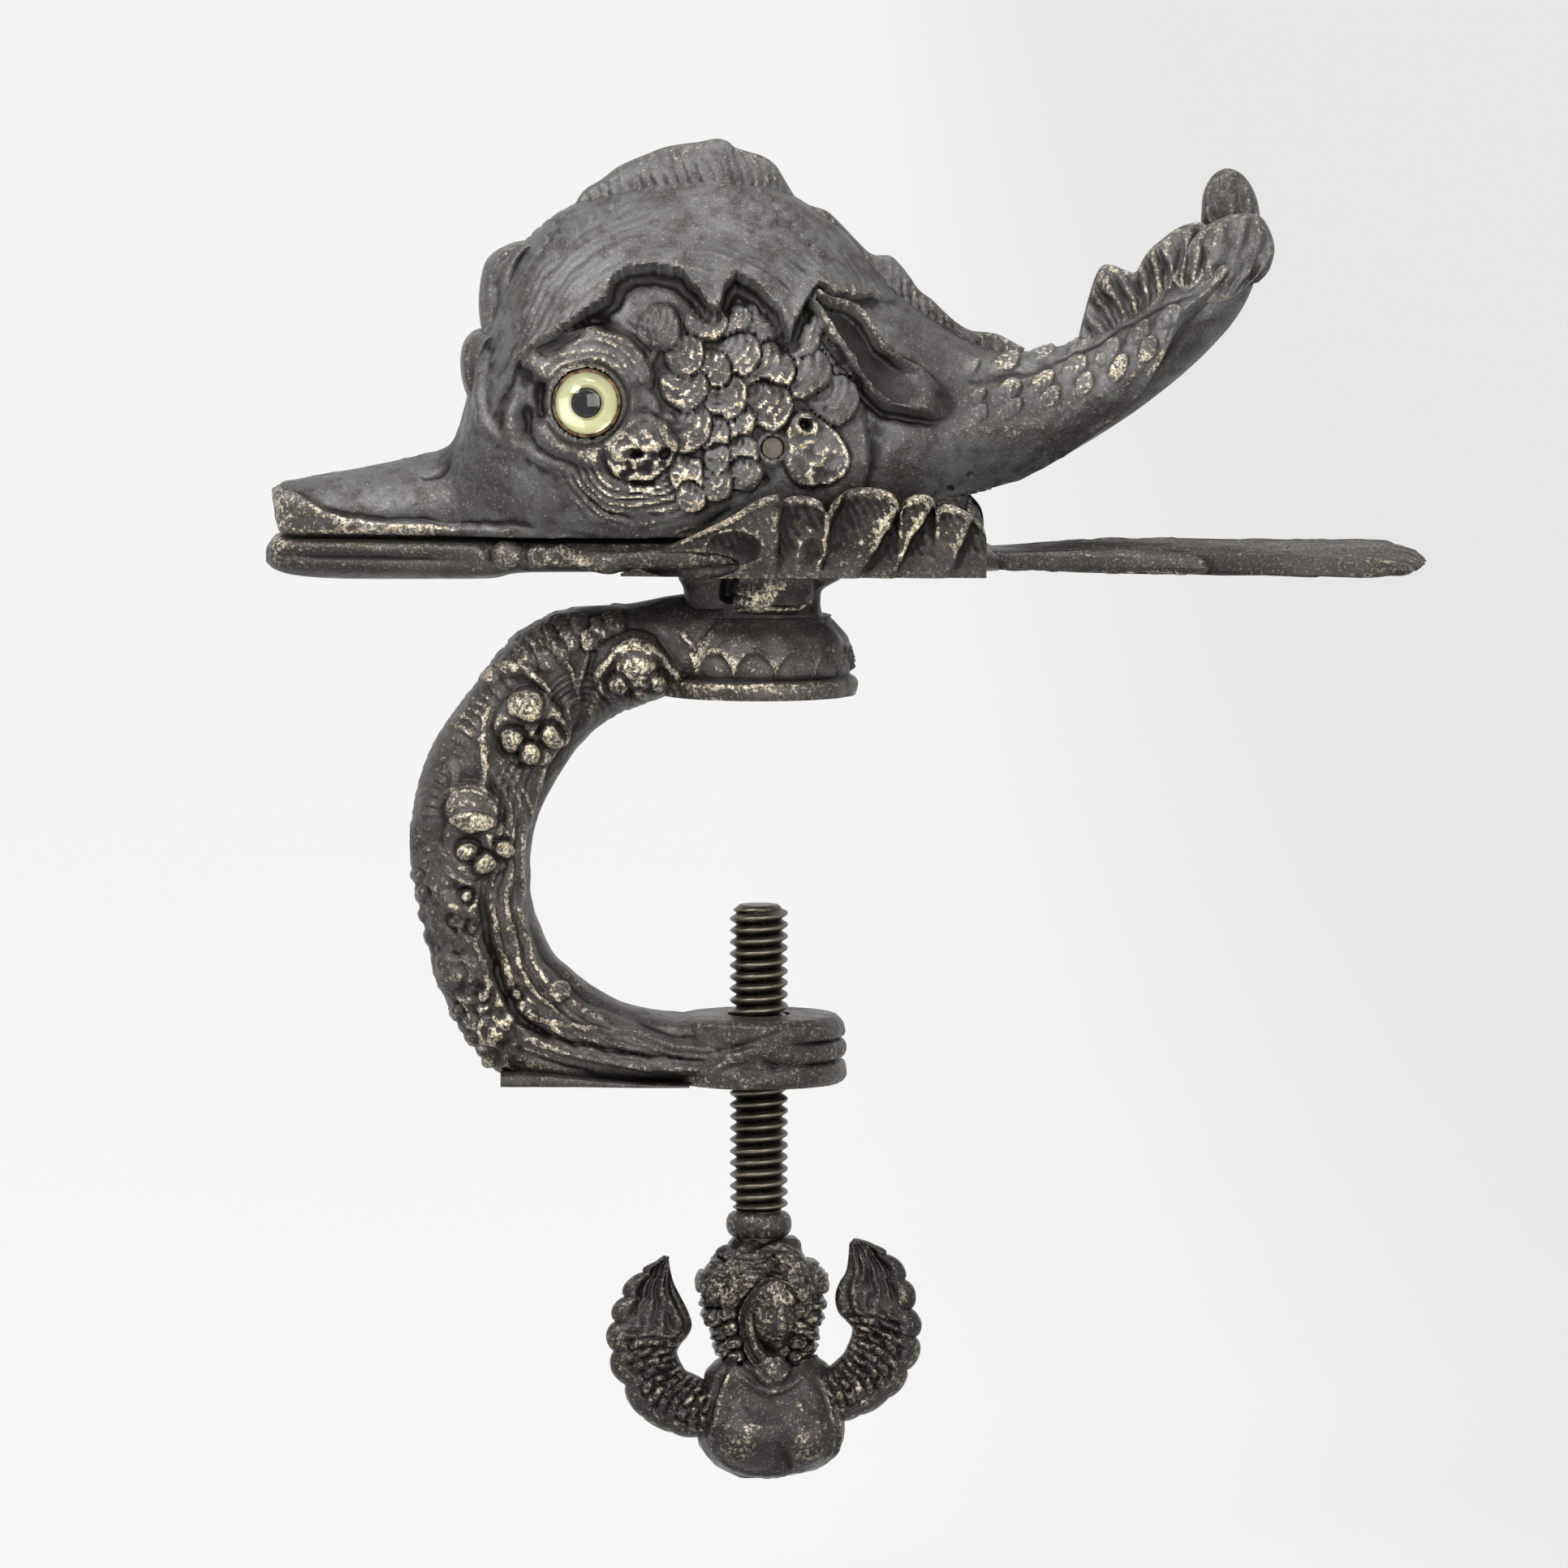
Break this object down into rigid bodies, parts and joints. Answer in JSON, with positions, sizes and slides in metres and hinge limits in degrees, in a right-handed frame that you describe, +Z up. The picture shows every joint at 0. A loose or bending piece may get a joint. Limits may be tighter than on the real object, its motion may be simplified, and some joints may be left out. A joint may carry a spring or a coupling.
{
  "type": "sewing clamp",
  "caption": "Figural needlework table clamp: a sprung fish head opens its beak when its tail is pressed, above a C-frame closed by a thumbscrew with a bust handle.",
  "frame": {"origin": "centre of the flat round underside of the clamp's pad, on the clamp screw's axis, where the table top meets it", "axes": "+Z up along the clamp screw from the pad into the fish, +X towards the fish's tail, +Y to the fish's left side"},
  "size_m": [0.1259, 0.0396, 0.1459],
  "materials": {
    "patinated_casting": "cast, dark brown-black patina, rubbed golden on high spots",
    "dark_steel": "dull dark steel with oil stain",
    "spring_steel": "blued spring steel",
    "cement": "brown bedding cement",
    "iris_enamel": "pale yellow-green enamel",
    "black_glass": "polished black glass",
    "clear_glass": "polished clear glass"
  },
  "bodies": {
    "clamp": {"clamp_frame": "patinated_casting", "lower_casting": "patinated_casting", "mounting_screw": "dark_steel", "leaf_spring": "spring_steel", "spring_rivet": "dark_steel"},
    "head": {"upper_casting": "patinated_casting", "hinge_pin": "dark_steel", "eye_bedding_left": "cement", "eye_bedding_right": "cement", "eye_iris_left": "iris_enamel", "eye_iris_right": "iris_enamel", "eye_pupil_left": "black_glass", "eye_pupil_right": "black_glass", "eye_lens_left": "clear_glass", "eye_lens_right": "clear_glass"},
    "collar": {"screw_collar": "patinated_casting"},
    "thumbscrew": {"screw_rod": "dark_steel", "siren_handle": "patinated_casting"}
  },
  "joints": [
    {"name": "mouth_hinge", "type": "hinge", "parent": "clamp", "child": "head", "pos_m": [0.0015, 0, 0.028], "axis": [0, 1, 0], "range_deg": [0, 10.5], "stiffness_Nm_per_rad": 1.6, "springref_deg": -5.73, "deforming": ["leaf_spring"]},
    {"name": "screw_travel", "type": "slide", "parent": "clamp", "child": "collar", "axis": [0, 0, 1], "range_m": [-0.01144, 0.01366]},
    {"name": "screw_turn", "type": "hinge", "parent": "collar", "child": "thumbscrew", "pos_m": [0, 0, -0.0577], "axis": [0, 0, 1], "range_deg": [-3245, 3875]}
  ],
  "couplings": [
    {"joint": "screw_turn", "follows": "screw_travel", "rad_per_m": 4947.4}
  ]
}
